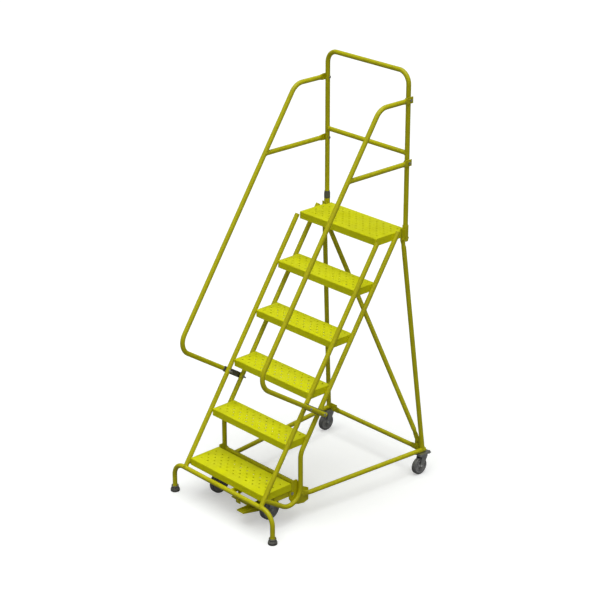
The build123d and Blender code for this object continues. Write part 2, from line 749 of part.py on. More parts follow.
# ======== front caster carrier ========
web_low = front_wheel_lift + front_stack + weld_gap
web_top = web_low + channel_gauge
arm_x = plate_x - plate_thick - arm_gap
front_axle_up = front_wheel_lift + front_wheel_d / 2
front_plate_low = front_wheel_lift + front_stack - caster_plate_thick
front_half = front_wheel_w / 2 + 2 + fork_gap
pedal_bolts = [at(pedal_x + x, pedal_heel_back + pedal_flange / 2, web_top) for x in (-16, 16)]
with BuildPart() as carrier_frame:
    with BuildSketch(side_plane(-(arm_x - plate_thick))):
        with Locations((front_wheel_back, web_low + channel_height / 2)):
            Rectangle(channel_depth, channel_height)
        with Locations((front_wheel_back, web_top + channel_height / 2)):
            Rectangle(channel_depth - 2 * channel_gauge, channel_height, mode=Mode.SUBTRACT)
    extrude(amount=2 * (arm_x - plate_thick))
    for side, sign in sides:
        with BuildSketch(side_plane(sign * arm_x)):
            with Locations((hinge_back, hinge_up)):
                Circle(eye_r)
            with Locations((front_wheel_back, web_low + channel_height / 2 - 4)):
                Rectangle(channel_depth, channel_height + 8)
            make_hull()
            with Locations((hinge_back, hinge_up)):
                Circle(hinge_pin_d / 2 + run_gap, mode=Mode.SUBTRACT)
        extrude(amount=-sign * plate_thick)
        for spot in four_round(at(sign * front_wheel_x, front_wheel_back, web_low - 1), front_bolt_x, front_bolt_y):
            add(rod(spot, spot + up_way * 2 * channel_gauge, small_hole_r), mode=Mode.SUBTRACT)
    for spot in pedal_bolts:
        add(rod(spot - up_way * 2 * channel_gauge, spot + up_way, small_hole_r), mode=Mode.SUBTRACT)
save(carrier_frame, "carrier_frame")

with BuildPart() as carrier_bolts:
    for side, sign in sides:
        for spot in four_round(at(sign * front_wheel_x, front_wheel_back, web_top), front_bolt_x, front_bolt_y):
            add(bolt(Plane(spot), channel_gauge + caster_plate_thick + weld_gap, small_bolt_d))
    for spot in pedal_bolts:
        add(bolt(Plane(spot), channel_gauge + pedal_gauge + weld_gap, small_bolt_d))
save(carrier_bolts, "carrier_bolts")

with BuildPart() as front_axles:
    for side, sign in sides:
        head = at(sign * front_wheel_x + front_half + fork_thick, front_wheel_back, front_axle_up)
        add(bolt(Plane(origin=head, z_dir=(1, 0, 0)), 2 * (front_half + fork_thick), axle_d, tail=1.5))
save(front_axles, "front_axles")

for side, sign in sides:
    middle = at(sign * front_wheel_x, front_wheel_back, 0)
    hub_centre = middle + up_way * front_axle_up
    with BuildPart() as fork:
        with BuildSketch(Plane(middle + up_way * front_plate_low)):
            RectangleRounded(front_plate_x, front_plate_y, 5)
        extrude(amount=caster_plate_thick)
        for leg in (-1, 1):
            add(fork_leg(middle + Vector(leg * front_half, 0, 0), (0, front_axle_up),
                         (0, front_plate_low + caster_plate_thick - crown_thick / 2), crown_width, leg))
        add(rod(hub_centre - Vector(50, 0, 0), hub_centre + Vector(50, 0, 0), axle_d / 2 + bolt_fit),
            mode=Mode.SUBTRACT)
        for spot in four_round(middle + up_way * front_axle_up, front_bolt_x, front_bolt_y):
            add(rod(spot, spot + up_way * front_stack, small_hole_r), mode=Mode.SUBTRACT)
    save(fork, f"front_{side}_fork")

    with BuildPart() as wheel:
        add(wheel_hub(hub_centre, front_wheel_d / 2, front_wheel_w))
    save(wheel, f"front_{side}_wheel")
    with BuildPart() as tyre:
        add(wheel_tyre(hub_centre, front_wheel_d / 2, front_wheel_w))
    save(tyre, f"front_{side}_tyre")

# ======== foot pedal and its stay ========
seat = web_low - weld_gap
with BuildPart() as pedal:
    with BuildSketch(side_plane(pedal_x - pedal_width / 2)):
        with BuildLine():
            Polyline((pedal_tip_back, pedal_tip_up), (pedal_heel_back, pedal_heel_up), (pedal_heel_back, seat),
                     (pedal_heel_back + pedal_flange, seat), (pedal_heel_back + pedal_flange, seat - pedal_gauge),
                     (pedal_heel_back + pedal_gauge, seat - pedal_gauge),
                     (pedal_heel_back + pedal_gauge, pedal_heel_up - pedal_gauge),
                     (pedal_tip_back, pedal_tip_up - pedal_gauge), close=True)
        make_face()
    extrude(amount=pedal_width)
    for rib_x in (pedal_x - pedal_width / 2, pedal_x + pedal_width / 2 - pedal_gauge):
        with BuildSketch(side_plane(rib_x)):
            with BuildLine():
                Polyline((pedal_tip_back, pedal_tip_up - pedal_gauge / 2), (pedal_tip_back, pedal_tip_up + 3),
                         (pedal_heel_back + 1, pedal_heel_up + rib_height),
                         (pedal_heel_back + 1, pedal_heel_up - pedal_gauge / 2), close=True)
            make_face()
        extrude(amount=pedal_gauge)
    for spot in pedal_bolts:
        add(rod(spot - up_way * 4 * pedal_gauge, spot, small_hole_r), mode=Mode.SUBTRACT)
save(pedal, "pedal")

stay_end = pedal_x - pedal_width / 2 - weld_gap
with BuildPart() as pedal_stay:
    with BuildSketch(Plane(origin=at(0, stay_back, 0), x_dir=(1, 0, 0), z_dir=(0, -1, 0))):
        with BuildLine():
            Polyline((stay_tip_x, stay_low), (stay_end, stay_low), (stay_end, stay_low + stay_height),
                     (stay_tip_x + stay_height, stay_low + stay_height), close=True)
        make_face()
    extrude(amount=-plate_thick)
    with BuildSketch(side_plane(stay_hanger_x)):
        with BuildLine():
            Polyline((stay_back, stay_low), (stay_back + plate_thick, stay_low), (channel_front - weld_gap, web_low),
                     (channel_front - weld_gap, web_low + channel_height - 2), (channel_front - 6, web_low + 14),
                     (stay_back, stay_low + stay_height), close=True)
        make_face()
    extrude(amount=plate_thick)
save(pedal_stay, "pedal_stay")

# ======== latch that holds the carrier down ========
with BuildPart() as latch_bracket:
    for side, sign in sides:
        with BuildSketch(side_plane(latch_x + sign * (latch_thick / 2 + cheek_gap))):
            with BuildLine():
                Polyline((leg_back + 4, leg_up - 10), (latch_back - 20, latch_up - 30), (latch_back + 12, latch_up - 14),
                         (latch_back + 12, latch_up + 10), (latch_back - 10, latch_up + 12),
                         (latch_back - 24, leg_up + 9), (leg_back + 4, leg_up + 9), close=True)
            make_face()
            with Locations((latch_back, latch_up)):
                Circle(latch_pin_d / 2 + bolt_fit, mode=Mode.SUBTRACT)
        extrude(amount=sign * cheek_thick)
    with BuildSketch(side_plane(latch_x - latch_thick / 2 - cheek_gap)):
        with Locations((leg_back + tube_r + 8, leg_up)):
            Rectangle(16, 12)
    extrude(amount=latch_thick + 2 * cheek_gap)
    add(cope(at(-leg_x, leg_back, leg_up), at(leg_x, leg_back, leg_up)), mode=Mode.SUBTRACT)
save(latch_bracket, "latch_bracket")

with BuildPart() as latch_lever:
    with BuildSketch(side_plane(latch_x - latch_thick / 2)):
        with Locations((latch_back, latch_up)):
            Circle(latch_eye_r)
        with Locations((latch_toe_back + 6, latch_toe_up + 14)):
            Rectangle(10, 20)
        make_hull()
        with BuildLine():
            Polyline((latch_back - 2, tooth_up - 4), (tooth_back, tooth_up), (tooth_back, tooth_up + 6),
                     (latch_back - 2, tooth_up + 16), close=True)
        make_face()
        with Locations((latch_back, latch_up)):
            Circle(latch_pin_d / 2 + run_gap, mode=Mode.SUBTRACT)
    extrude(amount=latch_thick)
    with BuildSketch(side_plane(latch_x - latch_toe_w / 2)):
        with Locations((latch_toe_back + 0.5, latch_toe_up + latch_toe_h / 2)):
            Rectangle(5, latch_toe_h)
    extrude(amount=latch_toe_w)
save(latch_lever, "latch_lever")


def pin(head, way, length, radius):
    """Headed pin with a retaining ring near its far end."""
    ring_seat = Plane(origin=head + way * (length + weld_gap), z_dir=way)
    with BuildPart() as made:
        add(rod(head, head + way * (length + 5), radius))
        add(rod(head - way * 4, head, radius + 3))
        with BuildSketch(ring_seat):
            Circle(radius + 3)
        extrude(amount=2)
    return made.part


with BuildPart() as pivot_pins:
    for side, sign in sides:
        add(pin(at(sign * (plate_x + weld_gap), hinge_back, hinge_up), Vector(-sign, 0, 0),
                2 * plate_thick + arm_gap + weld_gap, hinge_pin_d / 2))
    latch_span = latch_thick + 2 * cheek_gap + 2 * cheek_thick
    add(pin(at(latch_x + latch_span / 2 + weld_gap, latch_back, latch_up), Vector(-1, 0, 0),
            latch_span + weld_gap, latch_pin_d / 2))
save(pivot_pins, "pivot_pins")

# ======== springs that lift the carrier ========
spring_low, spring_high = web_top + weld_gap, first_step - tread_gauge - weld_gap
with BuildPart() as return_springs:
    for side, sign in sides:
        coil_low = at(sign * spring_x, spring_back, spring_low + spring_stem)
        coil_height = spring_high - spring_low - 2 * spring_stem
        with BuildLine(Plane(coil_low)) as coil:
            Helix(pitch=coil_height / spring_turns, height=coil_height, radius=spring_r)
        with BuildSketch(Plane(origin=coil.line @ 0, z_dir=coil.line % 0)):
            Circle(wire_r)
        sweep(is_frenet=True)
        for stem, way in ((coil.line @ 0, -1), (coil.line @ 1, 1)):
            add(rod(stem, stem + up_way * way * spring_stem, wire_r))
            with Locations(stem):
                Sphere(wire_r)
save(return_springs, "return_springs")
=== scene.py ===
import bpy
import bmesh
import json
import math
from mathutils import Matrix, Vector


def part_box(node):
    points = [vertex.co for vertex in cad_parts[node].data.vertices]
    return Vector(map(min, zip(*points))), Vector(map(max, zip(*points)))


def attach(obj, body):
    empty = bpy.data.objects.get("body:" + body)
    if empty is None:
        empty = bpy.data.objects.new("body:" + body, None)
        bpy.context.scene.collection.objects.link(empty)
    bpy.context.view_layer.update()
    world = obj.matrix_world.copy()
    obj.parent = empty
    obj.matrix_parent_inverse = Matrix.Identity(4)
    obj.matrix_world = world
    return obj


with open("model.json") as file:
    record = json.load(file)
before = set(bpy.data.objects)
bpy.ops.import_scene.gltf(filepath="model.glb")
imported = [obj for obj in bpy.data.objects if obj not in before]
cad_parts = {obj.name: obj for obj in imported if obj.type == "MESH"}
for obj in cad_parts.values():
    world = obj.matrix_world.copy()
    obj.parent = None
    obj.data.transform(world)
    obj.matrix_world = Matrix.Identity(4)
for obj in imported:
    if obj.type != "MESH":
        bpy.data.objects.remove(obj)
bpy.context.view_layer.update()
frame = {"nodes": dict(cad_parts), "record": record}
nodes = frame["nodes"]
sides = (("left", -1), ("right", 1))
print("frame loaded:", len(nodes), "nodes")

# camera first: a long lens from the front right, a little above the top step
cameraSet = {"place": (6.9527, -6.4954, 5.0985), "right": (0.6817, 0.7316, 0.0),
             "up": (-0.2815, 0.2623, 0.9230), "forward": (-0.67533, 0.62923, -0.38470),
             "lens": 111.7, "sensor": 36.0}
cameraData = bpy.data.cameras.new("studioCamera")
cameraData.lens, cameraData.sensor_width = cameraSet["lens"], cameraSet["sensor"]
cameraData.clip_end = 200.0
camera = bpy.data.objects.new("studioCamera", cameraData)
bpy.context.scene.collection.objects.link(camera)
turn = Matrix((cameraSet["right"], cameraSet["up"], -Vector(cameraSet["forward"]))).transposed()
camera.matrix_world = Matrix.Translation(cameraSet["place"]) @ turn.to_4x4()
bpy.context.scene.camera = camera


def newGroup(name, inputs, outputs):
    # shader group with named sockets, built once and placed in each material with its own values
    tree = bpy.data.node_groups.new(name, "ShaderNodeTree")
    for label, kind, value in inputs:
        tree.interface.new_socket(label, in_out="INPUT", socket_type=kind).default_value = value
    for label, kind in outputs:
        tree.interface.new_socket(label, in_out="OUTPUT", socket_type=kind)
    return tree, tree.nodes.new("NodeGroupInput"), tree.nodes.new("NodeGroupOutput")


def addNode(tree, kind, links=(), **settings):
    node = tree.nodes.new(kind)
    for key, value in settings.items():
        setattr(node, key, value)
    for socket, source in dict(links).items():
        if isinstance(source, bpy.types.NodeSocket):
            tree.links.new(source, node.inputs[socket])
        else:
            node.inputs[socket].default_value = source
    return node


def mathNode(tree, operation, first, second=0.0, clamp=False):
    node = addNode(tree, "ShaderNodeMath", {0: first, 1: second}, operation=operation, use_clamp=clamp)
    return node.outputs[0]


def masked(tree, first, second, amount):
    # two masks multiplied, then scaled and held to 0..1
    return mathNode(tree, "MULTIPLY", mathNode(tree, "MULTIPLY", first, second), amount, clamp=True)


def rampNode(tree, value, low, high, outLow=0.0, outHigh=1.0):
    return addNode(tree, "ShaderNodeMapRange", {"Value": value, "From Min": low, "From Max": high,
                                                "To Min": outLow, "To Max": outHigh}).outputs[0]


def mixColour(tree, factor, first, second):
    return addNode(tree, "ShaderNodeMix", {0: factor, 6: first, 7: second}, data_type="RGBA").outputs[2]


def noiseNode(tree, vector, scale, detail=3.0, roughness=0.55):
    settings = {"Vector": vector, "Scale": scale, "Detail": detail, "Roughness": roughness}
    return addNode(tree, "ShaderNodeTexNoise", settings).outputs["Fac"]


def objectPlace(tree):
    return addNode(tree, "ShaderNodeTexCoord").outputs["Object"]


def buildEdgeWear():
    # mask of worn edges: where the surface turns sharply, broken up by noise
    inputs = (("Width", "NodeSocketFloat", 0.0015), ("Amount", "NodeSocketFloat", 1.0),
              ("Breakup", "NodeSocketFloat", 90.0))
    tree, given, made = newGroup("edgeWear", inputs, (("Mask", "NodeSocketFloat"),))
    rounded = addNode(tree, "ShaderNodeBevel", {"Radius": given.outputs["Width"]}, samples=4)
    flat = addNode(tree, "ShaderNodeNewGeometry")
    normals = {0: rounded.outputs["Normal"], 1: flat.outputs["Normal"]}
    facing = addNode(tree, "ShaderNodeVectorMath", normals, operation="DOT_PRODUCT").outputs["Value"]
    edge = rampNode(tree, facing, 0.985, 0.86)
    patches = rampNode(tree, noiseNode(tree, objectPlace(tree), given.outputs["Breakup"]), 0.42, 0.66)
    tree.links.new(masked(tree, edge, patches, given.outputs["Amount"]), made.inputs["Mask"])
    return tree


def buildSurfaceGrain():
    # fine skin of the surface: height for bump, and a slow drift for roughness and tone
    inputs = (("Fine scale", "NodeSocketFloat", 900.0), ("Slow scale", "NodeSocketFloat", 14.0),
              ("Slow share", "NodeSocketFloat", 0.3))
    outputs = (("Height", "NodeSocketFloat"), ("Drift", "NodeSocketFloat"))
    tree, given, made = newGroup("surfaceGrain", inputs, outputs)
    place = objectPlace(tree)
    fine = noiseNode(tree, place, given.outputs["Fine scale"], 2.0)
    slow = noiseNode(tree, place, given.outputs["Slow scale"], 4.0)
    height = mathNode(tree, "ADD", fine, mathNode(tree, "MULTIPLY", slow, given.outputs["Slow share"]))
    tree.links.new(height, made.inputs["Height"])
    tree.links.new(slow, made.inputs["Drift"])
    return tree


def buildDustFilm():
    # pale dust that settles on what faces up, and gathers in patches
    inputs = (("Amount", "NodeSocketFloat", 0.2), ("Patch scale", "NodeSocketFloat", 9.0))
    tree, given, made = newGroup("dustFilm", inputs, (("Mask", "NodeSocketFloat"),))
    normal = addNode(tree, "ShaderNodeNewGeometry").outputs["Normal"]
    facing = addNode(tree, "ShaderNodeSeparateXYZ", {0: normal})
    upward = rampNode(tree, facing.outputs["Z"], 0.35, 1.0)
    cloud = noiseNode(tree, objectPlace(tree), given.outputs["Patch scale"], 6.0, 0.65)
    patches = rampNode(tree, cloud, 0.4, 0.72)
    tree.links.new(masked(tree, upward, patches, given.outputs["Amount"]), made.inputs["Mask"])
    return tree


def buildRubMarks():
    # thin rub marks that run along one direction
    inputs = (("Stretch", "NodeSocketVector", (30.0, 260.0, 260.0)), ("Amount", "NodeSocketFloat", 0.5))
    tree, given, made = newGroup("rubMarks", inputs, (("Mask", "NodeSocketFloat"),))
    factors = {0: objectPlace(tree), 1: given.outputs["Stretch"]}
    stretched = addNode(tree, "ShaderNodeVectorMath", factors, operation="MULTIPLY").outputs["Vector"]
    streaks = rampNode(tree, noiseNode(tree, stretched, 1.0, 5.0, 0.7), 0.6, 0.78)
    where = rampNode(tree, noiseNode(tree, objectPlace(tree), 6.0, 2.0), 0.45, 0.7)
    tree.links.new(masked(tree, streaks, where, given.outputs["Amount"]), made.inputs["Mask"])
    return tree


edgeWear, surfaceGrain = buildEdgeWear(), buildSurfaceGrain()
dustFilm, rubMarks = buildDustFilm(), buildRubMarks()


def placeGroup(tree, group, **values):
    node = addNode(tree, "ShaderNodeGroup", node_tree=group)
    for label, value in values.items():
        node.inputs[label.replace("_", " ")].default_value = value
    return node.outputs


# what a look has wherever it names nothing else
plainLook = {"drift": 14.0, "slowShare": 0.3, "rub": 0.3, "rubStretch": (30.0, 260.0, 260.0),
             "rubRough": 0.25, "dust": 0.15, "dustColour": (0.62, 0.60, 0.52, 1.0), "dustRough": 0.3,
             "edgeWidth": 0.0015, "wear": 0.5, "bareEdges": False, "bareMetal": 0.8, "metal": 0.0,
             "specular": 0.5, "bump": 0.15, "bumpDepth": 0.0004}


def finishMaterial(own):
    # one look becomes one material: colour drift, dust, rub marks, worn edges and a bump skin
    look = {**plainLook, **own}
    material = bpy.data.materials.new(look["name"])
    material.use_nodes = True
    tree = material.node_tree
    shader = tree.nodes["Principled BSDF"]
    grain = placeGroup(tree, surfaceGrain, Fine_scale=look["grain"], Slow_scale=look["drift"],
                       Slow_share=look["slowShare"])
    colour = mixColour(tree, rampNode(tree, grain["Drift"], 0.3, 0.7), look["colour"], look["colourDrift"])
    rub = placeGroup(tree, rubMarks, Stretch=look["rubStretch"], Amount=look["rub"])
    colour = mixColour(tree, rub["Mask"], colour, look["rubColour"])
    dust = placeGroup(tree, dustFilm, Amount=look["dust"])
    colour = mixColour(tree, dust["Mask"], colour, look["dustColour"])
    wear = placeGroup(tree, edgeWear, Width=look["edgeWidth"], Amount=look["wear"])
    colour = mixColour(tree, wear["Mask"], colour, look["wearColour"])
    tree.links.new(colour, shader.inputs["Base Color"])
    rough = rampNode(tree, grain["Drift"], 0.25, 0.75, *look["rough"])
    for mask, more in ((rub["Mask"], look["rubRough"]), (dust["Mask"], look["dustRough"])):
        rough = mathNode(tree, "ADD", rough, mathNode(tree, "MULTIPLY", mask, more), clamp=True)
    tree.links.new(rough, shader.inputs["Roughness"])
    if look["bareEdges"]:
        bare = mathNode(tree, "MULTIPLY", wear["Mask"], look["bareMetal"])
        tree.links.new(bare, shader.inputs["Metallic"])
    else:
        shader.inputs["Metallic"].default_value = look["metal"]
    shader.inputs["Specular IOR Level"].default_value = look["specular"]
    skin = {"Height": grain["Height"], "Strength": look["bump"], "Distance": look["bumpDepth"]}
    tree.links.new(addNode(tree, "ShaderNodeBump", skin).outputs["Normal"], shader.inputs["Normal"])
    return material


looks = {
    "paint": {"name": "yellowPowderCoat",
              "colour": (0.600, 0.570, 0.002, 1), "colourDrift": (0.540, 0.500, 0.002, 1),
              "rubColour": (0.38, 0.35, 0.010, 1), "wearColour": (0.26, 0.24, 0.03, 1), "grain": 1400.0,
              "rough": (0.36, 0.48), "specular": 0.30, "bump": 0.12, "dust": 0.03, "rub": 0.25, "wear": 0.35},
    # the steps' copy of the frame's yellow paint: rougher, and brighter in colour as painted light falling on
    # the step tops
    "tread": {"name": "yellowPaintLitStepTops",
              "colour": (0.780, 0.790, 0.002, 1), "colourDrift": (0.700, 0.700, 0.002, 1),
              "rubColour": (0.40, 0.40, 0.015, 1), "wearColour": (0.30, 0.28, 0.03, 1), "grain": 900.0,
              "rough": (0.44, 0.60), "specular": 0.15, "bump": 0.2, "dust": 0.03, "rub": 0.5, "wear": 0.5},
    "greyPlate": {"name": "greyPaintedPlate",
                  "colour": (0.085, 0.085, 0.08, 1), "colourDrift": (0.12, 0.12, 0.11, 1),
                  "rubColour": (0.25, 0.25, 0.24, 1), "wearColour": (0.40, 0.40, 0.38, 1), "grain": 900.0,
                  "rough": (0.38, 0.55), "bump": 0.15, "rub": 0.4, "wear": 0.8, "bareEdges": True},
    "rubber": {"name": "blackRubberTip",
               "colour": (0.055, 0.055, 0.052, 1), "colourDrift": (0.085, 0.082, 0.075, 1),
               "rubColour": (0.18, 0.17, 0.15, 1), "wearColour": (0.17, 0.16, 0.15, 1), "grain": 500.0,
               "rough": (0.62, 0.85), "bump": 0.35, "dust": 0.4, "rub": 0.6, "wear": 0.5},
    "zinc": {"name": "zincPlatedSteel",
             "colour": (0.60, 0.59, 0.54, 1), "colourDrift": (0.50, 0.51, 0.52, 1),
             "rubColour": (0.38, 0.37, 0.34, 1), "wearColour": (0.75, 0.75, 0.74, 1), "grain": 1800.0,
             "rough": (0.25, 0.42), "metal": 1.0, "bump": 0.12, "wear": 0.6},
    "casterSteel": {"name": "casterPressedSteel",
                    "colour": (0.50, 0.50, 0.49, 1), "colourDrift": (0.40, 0.41, 0.42, 1),
                    "rubColour": (0.30, 0.29, 0.27, 1), "wearColour": (0.70, 0.70, 0.68, 1), "grain": 1500.0,
                    "rough": (0.30, 0.50), "metal": 0.9, "bump": 0.18, "dust": 0.2, "wear": 0.6},
    "tyre": {"name": "greyRubberTyre",
             "colour": (0.13, 0.13, 0.135, 1), "colourDrift": (0.17, 0.17, 0.17, 1),
             "rubColour": (0.22, 0.21, 0.20, 1), "wearColour": (0.2, 0.2, 0.19, 1), "grain": 600.0,
             "rough": (0.55, 0.75), "bump": 0.3, "dust": 0.35, "rub": 0.6, "wear": 0.4},
    "hub": {"name": "greyMouldedHub",
            "colour": (0.30, 0.30, 0.31, 1), "colourDrift": (0.36, 0.36, 0.36, 1),
            "rubColour": (0.42, 0.42, 0.41, 1), "wearColour": (0.48, 0.48, 0.48, 1), "grain": 800.0,
            "rough": (0.42, 0.60), "bump": 0.2, "dust": 0.2, "wear": 0.4},
    "wire": {"name": "drawnSpringWire",
             "colour": (0.30, 0.30, 0.30, 1), "colourDrift": (0.22, 0.22, 0.23, 1),
             "rubColour": (0.2, 0.19, 0.17, 1), "wearColour": (0.5, 0.5, 0.5, 1), "grain": 2200.0,
             "rough": (0.28, 0.42), "metal": 1.0, "bump": 0.1, "wear": 0.3},
}
materials = {key: finishMaterial(look) for key, look in looks.items()}
print("materials made:", len(materials))

# every CAD node takes the finish of its slot in the record; the steps take their own rougher copy of the same
# yellow paint, its brighter colour painted light on the step tops
slotLook = {"yellow_paint": "paint", "grey_plate": "greyPlate", "black_rubber": "rubber",
            "zinc_steel": "zinc", "caster_steel": "casterSteel", "grey_tyre": "tyre",
            "wheel_centre": "hub", "spring_steel": "wire"}
lookSlot = {look: slot for slot, look in slotLook.items()}
lookSlot["tread"] = "yellow_paint"
for row in frame["record"]["subparts"]:
    look = "tread" if row["node"].startswith("tread_") else slotLook[row["material_slot"]]
    mesh = nodes[row["node"]].data
    mesh.materials.clear()
    mesh.materials.append(materials[look])


# the frame's own sizes in millimetres, for the seams and fastenings that dress it
sizes = {"middle": 656.4, "tubeR": 13.5, "railX": 318.8, "railGap": 147.0, "legX": 414.0,
         "legBack": 50.5, "legUp": 184.0, "slope": 168.3 / 254.0, "guardX": 312.0, "guardBack": 1142.0,
         "handrailX": 327.6, "handrailAhead": 508.0, "handrailBraceUp": 1899.0, "handrailBoltUp": 2252.0,
         "baseX": 391.6, "baseBack": 1244.3, "baseUp": 146.0, "legTabFront": 1121.1,
         "braceTabFront": 1112.4, "legBoltUp": 1458.0}


def at(x, back, up):
    # millimetres right, back from the front datum and up, as a point of the frame
    return Vector((x, back - sizes["middle"], up)) / 1000.0


def frontRailAt(up):
    return sizes["legBack"] + sizes["slope"] * (up - sizes["legUp"])


def pieceFrom(mesh, name, look, body):
    mesh.name = name
    mesh.materials.append(materials[look])
    piece = bpy.data.objects.new(name, mesh)
    bpy.context.scene.collection.objects.link(piece)
    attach(piece, body)


def meshFrom(bm, smoothAngle=0.6):
    bmesh.ops.remove_doubles(bm, verts=bm.verts, dist=1e-6)
    bmesh.ops.recalc_face_normals(bm, faces=bm.faces)
    for face in bm.faces:
        face.smooth = True
    for edge in bm.edges:
        edge.smooth = len(edge.link_faces) == 2 and edge.calc_face_angle(0.0) < smoothAngle
    mesh = bpy.data.meshes.new("made")
    bm.to_mesh(mesh)
    bm.free()
    return mesh


def spinRing(bm, profile, place, axis, segments, closed=True):
    # a section of (radius, height) points, in metres, spun round the axis at the place
    facing = Vector(axis).normalized().to_track_quat("Z", "Y").to_matrix().to_4x4()
    corners = [bm.verts.new(Vector((radius, 0.0, height))) for radius, height in profile]
    pairs = list(zip(corners, corners[1:])) + ([(corners[-1], corners[0])] if closed else [])
    edges = [bm.edges.new(pair) for pair in pairs]
    bmesh.ops.spin(bm, geom=corners + edges, cent=(0, 0, 0), axis=(0, 0, 1), angle=2 * math.pi,
                   steps=segments, use_merge=True)
    # only the new shape moves: all that hangs together with the section
    island, queue = set(corners), list(corners)
    while queue:
        vert = queue.pop()
        for edge in vert.link_edges:
            other = edge.other_vert(vert)
            if other not in island:
                island.add(other)
                queue.append(other)
    bmesh.ops.transform(bm, matrix=Matrix.Translation(Vector(place)) @ facing, verts=list(island))


def beadPiece(name, routes, look, body, radius=0.0021):
    # weld beads: a ripple of overlapping puddles along each route, closed or open
    data = bpy.data.curves.new(name, "CURVE")
    data.dimensions = "3D"
    data.bevel_depth = radius
    data.bevel_resolution = 1
    data.use_fill_caps = True
    for points, closed in routes:
        spline = data.splines.new("POLY")
        spline.points.add(len(points) - 1)
        spline.use_cyclic_u = closed
        for index, (slot, point) in enumerate(zip(spline.points, points)):
            slot.co = (*point, 1.0)
            slot.radius = (1.12, 0.86)[index % 2]
    holder = bpy.data.objects.new(name, data)
    bpy.context.scene.collection.objects.link(holder)
    mesh = bpy.data.meshes.new_from_object(holder)
    bpy.data.objects.remove(holder)
    for polygon in mesh.polygons:
        polygon.use_smooth = True
    pieceFrom(mesh, name, look, body)


def saddle(place, branch, host, radius):
    # where a round branch meets a host as thick: points all round the branch on the host's skin
    branch, host = Vector(branch).normalized(), Vector(host).normalized()
    across = branch.orthogonal().normalized()
    other = branch.cross(across)
    flatBranch = branch - host * branch.dot(host)
    points = []
    for step in range(weldSet["count"]):
        angle = 2 * math.pi * step / weldSet["count"]
        rim = (across * math.cos(angle) + other * math.sin(angle)) * radius
        flatRim = rim - host * rim.dot(host)
        a, b = flatBranch.dot(flatBranch), 2 * flatBranch.dot(flatRim)
        c = flatRim.dot(flatRim) - radius ** 2
        run = (-b + math.sqrt(max(b * b - 4 * a * c, 0.0))) / (2 * a)
        points.append(Vector(place) + branch * run + rim)
    return points


def straight(start, end, spacing=0.0022):
    count = max(int((end - start).length / spacing), 3)
    return [start.lerp(end, index / (count - 1)) for index in range(count)]


# seams where tube meets tube, tube meets plate and step meets rail
weldSet = {"over": 0.0006, "count": 40, "hookTop": 220.0, "hookCorner": (346.0, 44.3), "midBarUp": 1952.0,
           "crossPlace": (299.2, 346.0, 205.0), "legTop": (316.2, 1127.7, 1412.7), "baseFront": 413.0,
           "stepSeam": 0.0055, "stepOut": 0.0009, "inLow": 0.002, "inHigh": 0.003, "tooShort": 0.9}
tubeR = sizes["tubeR"] / 1000.0 + weldSet["over"]
railWay = Vector((0, sizes["slope"], 1)).normalized()
seams = []
for side, sign in sides:
    x = sign * sizes["railX"]
    seams.append((saddle(at(x, sizes["legBack"], sizes["legUp"]), railWay, (1, 0, 0), tubeR), True))
    hook = at(x, frontRailAt(weldSet["hookTop"]), weldSet["hookTop"])
    seams.append((saddle(hook, at(x, *weldSet["hookCorner"]) - hook, railWay, tubeR), True))
    post = at(sign * sizes["guardX"], sizes["guardBack"], weldSet["midBarUp"])
    seams.append((saddle(post, (-sign, 0, 0), (0, 0, 1), tubeR), True))
    braceUp = sizes["handrailBraceUp"]
    brace = at(sign * sizes["handrailX"], frontRailAt(braceUp) - sizes["handrailAhead"], braceUp)
    seams.append((saddle(brace, (0, 1, 0), railWay, tubeR), True))
    corner = at(sign * sizes["baseX"], sizes["baseBack"], sizes["baseUp"])
    sideWay = corner - at(x, weldSet["baseFront"], sizes["baseUp"])
    topX, topBack, topUp = weldSet["legTop"]
    seams.append((saddle(corner, at(sign * topX, topBack, topUp) - corner, sideWay, tubeR), True))
    crossX, crossBack, crossUp = weldSet["crossPlace"]
    cross = at(sign * crossX, crossBack, crossUp)
    angles = [2 * math.pi * i / weldSet["count"] for i in range(weldSet["count"])]
    seams.append(([cross + Vector((0, math.cos(a), math.sin(a))) * tubeR for a in angles], True))
    for number in range(1, 7):
        # two upright seams at each rail that a step meets; the first step meets the front rail only
        low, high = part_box(f"tread_{number}")
        for behind in (0.0,) if number == 1 else (0.0, sizes["railGap"]):
            for shift in (-weldSet["stepSeam"], weldSet["stepSeam"]):
                ends = []
                for up in (low.z + weldSet["inLow"], high.z - weldSet["inHigh"]):
                    back = at(0, frontRailAt(up * 1000.0) + behind, 0).y + shift
                    ends.append(Vector((sign * (high.x + weldSet["stepOut"]), back, up)))
                if ends[0].y < low.y + weldSet["inLow"]:
                    share = (low.y + weldSet["inLow"] - ends[0].y) / (ends[1].y - ends[0].y)
                    if share > weldSet["tooShort"]:
                        continue
                    ends[0] = ends[0].lerp(ends[1], share)
                if ends[1].y < high.y - weldSet["inLow"]:
                    seams.append((straight(*ends), False))
beadPiece("weldSeams", seams, "paint", "ladder")
print("weld seams:", len(seams))

# raised rims round the holes of each step, with small grip buttons between them
gripSet = {"pitch": 0.054, "holeR": 0.005, "rimR": 0.0082, "rimHeight": 0.0017, "margin": 0.020,
           "clear": 0.0001, "buttonR": 0.0042, "buttonHeight": 0.0014}
pitch, clear, up = gripSet["pitch"], gripSet["clear"], gripSet["rimHeight"]
lip, bore = gripSet["rimR"], gripSet["holeR"] - 0.0002
rimProfile = ((lip, clear), (lip - 0.0014, up * 0.8), (bore + 0.0012, up), (bore, up * 0.5), (bore, clear))


def holeCount(length):
    return int((length - 2 * gripSet["margin"] - 2 * gripSet["holeR"] + 1e-6) / pitch) + 1


